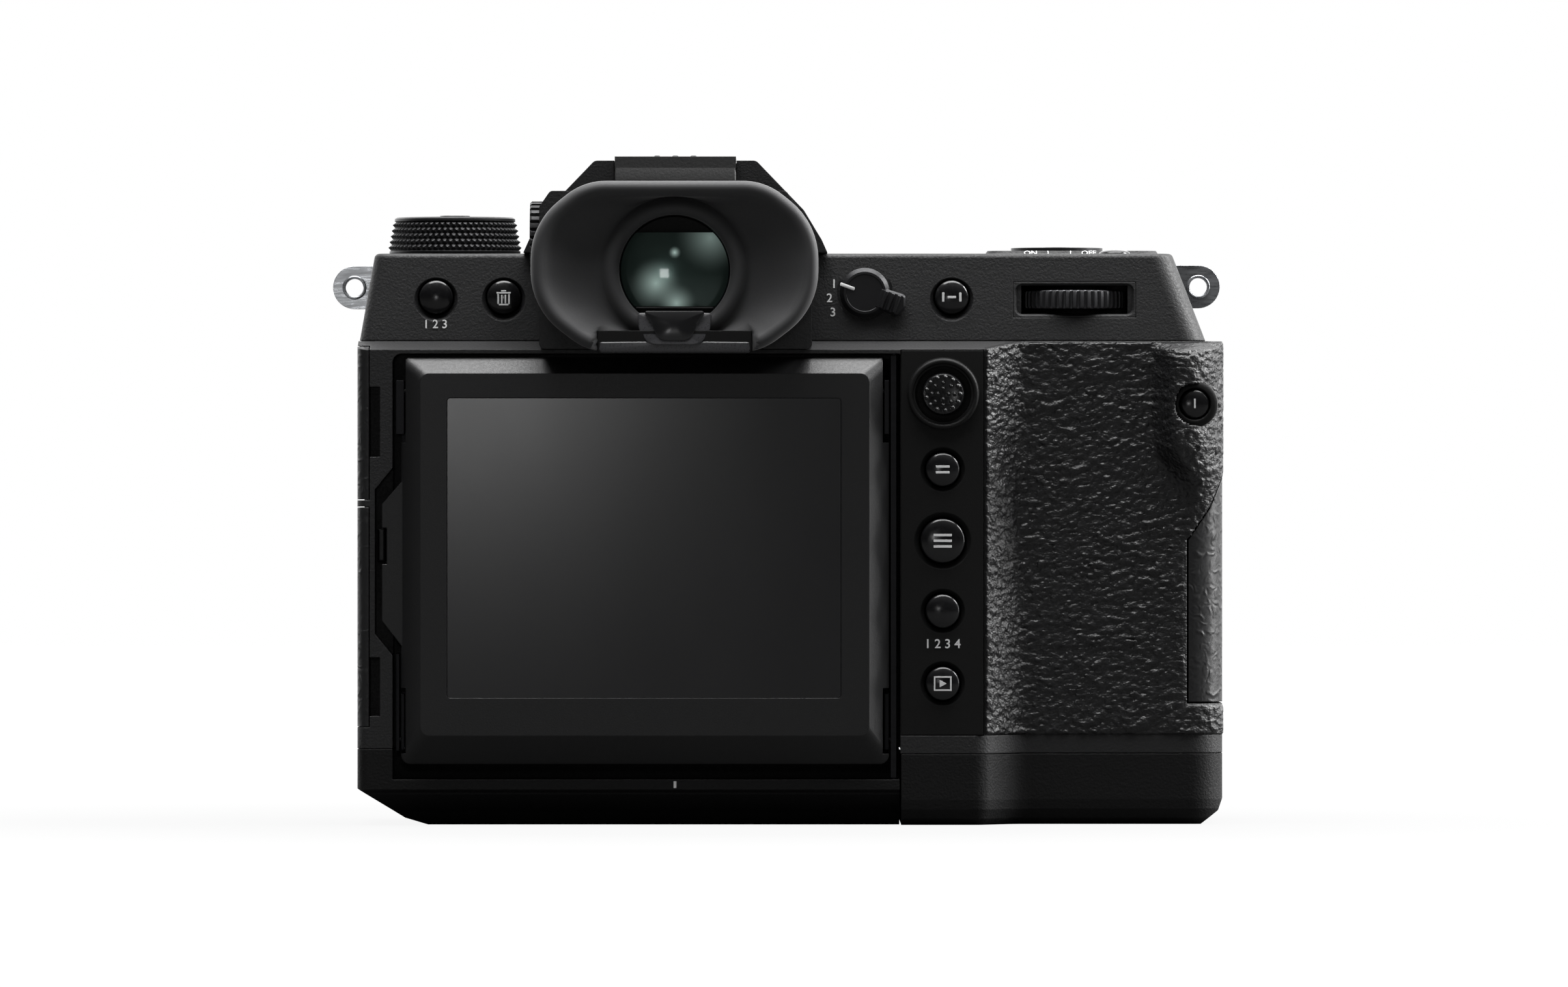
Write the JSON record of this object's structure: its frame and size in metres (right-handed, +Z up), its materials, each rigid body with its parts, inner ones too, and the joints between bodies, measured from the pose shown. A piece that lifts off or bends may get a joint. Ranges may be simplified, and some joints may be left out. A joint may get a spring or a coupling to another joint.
{
  "type": "medium format digital camera",
  "caption": "Digital camera body without a lens: deep hand grip, slide-on electronic viewfinder and a rear screen that tips up, tips down and swings out.",
  "frame": {"origin": "mouth of the tripod socket in the base, under the optical axis and in line with the sensor's face", "axes": "+X to the grip, which is to the right as seen from behind, +Y forward along the optical axis, +Z up"},
  "size_m": [0.1571, 0.0986, 0.1173],
  "materials": {
    "painted_shell": "fine matte grain",
    "grip_rubber": "leather grain",
    "eyecup_rubber": "soft matte",
    "panel_plastic": "smooth satin",
    "button_plastic": "satin gloss",
    "dial_metal": "black anodised",
    "steel": "satin",
    "shoe_steel": "blackened",
    "mount_steel": "turned",
    "chassis_magnesium": "black matte",
    "screen_cover_glass": "polished",
    "lens_glass": "polished, coated",
    "inner_plastic": "plain"
  },
  "bodies": {
    "body": {"front_cover": "painted_shell", "rear_cover": "painted_shell", "top_cover": "painted_shell", "base_cover": "painted_shell", "grip_base": "painted_shell", "grip_rubbers": "grip_rubber", "button_panel": "panel_plastic", "chassis": "chassis_magnesium", "lens_mount_ring": "mount_steel", "case_screws": "steel", "lens_contacts": "inner_plastic", "shutter_frame": "chassis_magnesium", "main_board": "inner_plastic", "battery": "inner_plastic", "port_sockets": "inner_plastic", "status_window": "screen_cover_glass", "strap_eyelets": "steel", "tripod_socket": "steel", "finder_shoe": "shoe_steel"},
    "finder": {"finder_housing": "painted_shell", "eyecup": "eyecup_rubber", "eyepiece_frame": "panel_plastic", "eyepiece_lens": "lens_glass", "finder_display": "inner_plastic", "hot_shoe": "shoe_steel"},
    "shoe_cover": {"shoe_cover": "panel_plastic"},
    "diopter_wheel": {"diopter_wheel": "dial_metal"},
    "screen_frame": {"swing_frame": "shoe_steel"},
    "screen_latch": {"screen_latch": "steel"},
    "screen_bracket": {"tilt_bracket": "shoe_steel"},
    "screen": {"screen_housing": "panel_plastic", "screen_glass": "screen_cover_glass"},
    "mode_dial": {"mode_dial": "dial_metal"},
    "mode_dial_lock": {"mode_dial_lock": "button_plastic"},
    "focus_lever": {"focus_lever": "dial_metal"},
    "rear_dial": {"rear_dial": "dial_metal"},
    "front_dial": {"front_dial": "dial_metal"},
    "power_lever": {"power_lever": "dial_metal"},
    "stick_gimbal": {"stick_gimbal": "inner_plastic"},
    "stick_cap": {"stick_cap": "button_plastic"},
    "lens_release_button": {"lens_release_button": "mount_steel"},
    "shutter_button": {"shutter_button": "button_plastic"},
    "top_button": {"top_button": "button_plastic"},
    "battery_door": {"battery_door": "painted_shell"},
    "battery_door_latch": {"battery_door_latch": "button_plastic"},
    "card_door": {"card_door": "painted_shell"},
    "port_door_upper": {"port_door_upper": "grip_rubber"},
    "port_door_lower": {"port_door_lower": "grip_rubber"},
    "shutter_leaf_1": {"shutter_leaf_1": "chassis_magnesium"},
    "shutter_leaf_2": {"shutter_leaf_2": "chassis_magnesium"},
    "sensor_carriage": {"sensor_carriage": "chassis_magnesium"},
    "image_sensor": {"image_sensor": "lens_glass"},
    "drive_button": {"drive_button": "button_plastic"},
    "delete_button": {"delete_button": "button_plastic"},
    "af_on_button": {"af_on_button": "button_plastic"},
    "ael_button": {"ael_button": "button_plastic"},
    "menu_button": {"menu_button": "button_plastic"},
    "display_button": {"display_button": "button_plastic"},
    "playback_button": {"playback_button": "button_plastic"},
    "quick_button": {"quick_button": "button_plastic"}
  },
  "joints": [
    {"name": "finder_slide", "type": "slide", "parent": "body", "child": "finder", "axis": [0, -1, 0], "range_m": [0, 0.04]},
    {"name": "shoe_cover_slide", "type": "slide", "parent": "finder", "child": "shoe_cover", "axis": [0, -1, 0], "range_m": [0, 0.02]},
    {"name": "diopter_turn", "type": "hinge", "parent": "finder", "child": "diopter_wheel", "pos_m": [-0.024, -0.032, 0.1027], "axis": [-1, 0, 0], "range_deg": [-150, 150]},
    {"name": "screen_swing", "type": "hinge", "parent": "body", "child": "screen_frame", "pos_m": [0.0384, -0.032, 0.0453], "axis": [0, 0, 1], "range_deg": [0, 60]},
    {"name": "screen_latch_slide", "type": "slide", "parent": "body", "child": "screen_latch", "axis": [0, 0, -1], "range_m": [0, 0.002]},
    {"name": "screen_tip_down", "type": "hinge", "parent": "screen_frame", "child": "screen_bracket", "pos_m": [0, -0.0295, 0.0148], "axis": [1, 0, 0], "range_deg": [0, 45]},
    {"name": "screen_tip_up", "type": "hinge", "parent": "screen_bracket", "child": "screen", "pos_m": [0, -0.031, 0.076], "axis": [-1, 0, 0], "range_deg": [0, 90]},
    {"name": "mode_dial_turn", "type": "hinge", "parent": "body", "child": "mode_dial", "pos_m": [-0.0392, -0.004, 0.103], "axis": [0, 0, 1], "continuous": true},
    {"name": "mode_dial_lock_press", "type": "slide", "parent": "mode_dial", "child": "mode_dial_lock", "axis": [0, 0, -1], "range_m": [0, 0.001], "stiffness_N_per_m": 300, "springref_m": -0.001},
    {"name": "focus_lever_turn", "type": "hinge", "parent": "body", "child": "focus_lever", "pos_m": [0.0333, -0.024, 0.09335], "axis": [0, -1, 0], "range_deg": [0, 47]},
    {"name": "rear_dial_turn", "type": "hinge", "parent": "body", "child": "rear_dial", "pos_m": [0.0702, -0.0163, 0.0921], "axis": [0, 0, 1], "continuous": true},
    {"name": "front_dial_turn", "type": "hinge", "parent": "body", "child": "front_dial", "pos_m": [0.074, 0.0364, 0.0903], "axis": [0, 0, 1], "continuous": true},
    {"name": "power_lever_turn", "type": "hinge", "parent": "body", "child": "power_lever", "pos_m": [0.0679, 0.022, 0.1016], "axis": [0, 0, 1], "range_deg": [0, 28]},
    {"name": "stick_tip_up_down", "type": "hinge", "parent": "body", "child": "stick_gimbal", "pos_m": [0.047, -0.0295, 0.0755], "axis": [1, 0, 0], "range_deg": [-8, 8], "stiffness_Nm_per_rad": 0.01},
    {"name": "stick_tip_sideways", "type": "hinge", "parent": "stick_gimbal", "child": "stick_cap", "pos_m": [0.047, -0.0295, 0.0755], "axis": [0, 0, 1], "range_deg": [-8, 8], "stiffness_Nm_per_rad": 0.01},
    {"name": "drive_button_press", "type": "slide", "parent": "body", "child": "drive_button", "axis": [0, 1, 0], "range_m": [0, 0.0007], "stiffness_N_per_m": 300, "springref_m": -0.001},
    {"name": "delete_button_press", "type": "slide", "parent": "body", "child": "delete_button", "axis": [0, 1, 0], "range_m": [0, 0.0007], "stiffness_N_per_m": 300, "springref_m": -0.001},
    {"name": "af_on_button_press", "type": "slide", "parent": "body", "child": "af_on_button", "axis": [0, 1, 0], "range_m": [0, 0.0007], "stiffness_N_per_m": 300, "springref_m": -0.001},
    {"name": "ael_button_press", "type": "slide", "parent": "body", "child": "ael_button", "axis": [0, 1, 0], "range_m": [0, 0.0007], "stiffness_N_per_m": 300, "springref_m": -0.001},
    {"name": "menu_button_press", "type": "slide", "parent": "body", "child": "menu_button", "axis": [0, 1, 0], "range_m": [0, 0.0007], "stiffness_N_per_m": 300, "springref_m": -0.001},
    {"name": "display_button_press", "type": "slide", "parent": "body", "child": "display_button", "axis": [0, 1, 0], "range_m": [0, 0.0007], "stiffness_N_per_m": 300, "springref_m": -0.001},
    {"name": "playback_button_press", "type": "slide", "parent": "body", "child": "playback_button", "axis": [0, 1, 0], "range_m": [0, 0.0007], "stiffness_N_per_m": 300, "springref_m": -0.001},
    {"name": "quick_button_press", "type": "slide", "parent": "body", "child": "quick_button", "axis": [0, 1, 0], "range_m": [0, 0.0007], "stiffness_N_per_m": 300, "springref_m": -0.001},
    {"name": "top_button_press", "type": "slide", "parent": "body", "child": "top_button", "axis": [0, 0, -1], "range_m": [0, 0.0007], "stiffness_N_per_m": 300, "springref_m": -0.001},
    {"name": "shutter_button_press", "type": "slide", "parent": "body", "child": "shutter_button", "axis": [0, 0, -1], "range_m": [0, 0.001], "stiffness_N_per_m": 300, "springref_m": -0.001},
    {"name": "lens_release_press", "type": "slide", "parent": "body", "child": "lens_release_button", "axis": [0, -1, 0], "range_m": [0, 0.0022], "stiffness_N_per_m": 300, "springref_m": -0.001},
    {"name": "battery_door_open", "type": "hinge", "parent": "body", "child": "battery_door", "pos_m": [0.0649, 0.0235, 0.0009], "axis": [0, 1, 0], "range_deg": [0, 90]},
    {"name": "battery_latch_slide", "type": "slide", "parent": "battery_door", "child": "battery_door_latch", "axis": [-1, 0, 0], "range_m": [0, 0.0015]},
    {"name": "card_door_open", "type": "hinge", "parent": "body", "child": "card_door", "pos_m": [0.09535, 0.01055, 0.0412], "axis": [0, 0, 1], "range_deg": [0, 100]},
    {"name": "port_door_upper_open", "type": "hinge", "parent": "body", "child": "port_door_upper", "pos_m": [-0.05468, 0.0109, 0.0704], "axis": [0, 0, -1], "range_deg": [0, 105]},
    {"name": "port_door_lower_open", "type": "hinge", "parent": "body", "child": "port_door_lower", "pos_m": [-0.05468, 0.0109, 0.0364], "axis": [0, 0, -1], "range_deg": [0, 105]},
    {"name": "shutter_leaf_1_slide", "type": "slide", "parent": "body", "child": "shutter_leaf_1", "axis": [0, 0, 1], "range_m": [0, 0.0356]},
    {"name": "shutter_leaf_2_slide", "type": "slide", "parent": "body", "child": "shutter_leaf_2", "axis": [0, 0, 1], "range_m": [0, 0.0178]},
    {"name": "sensor_shift_x", "type": "slide", "parent": "body", "child": "sensor_carriage", "axis": [1, 0, 0], "range_m": [-0.0015, 0.0015]},
    {"name": "sensor_shift_z", "type": "slide", "parent": "sensor_carriage", "child": "image_sensor", "axis": [0, 0, 1], "range_m": [-0.0015, 0.0015]}
  ],
  "couplings": [
    {"joint": "shutter_leaf_2_slide", "follows": "shutter_leaf_1_slide", "ratio": 0.5}
  ]
}
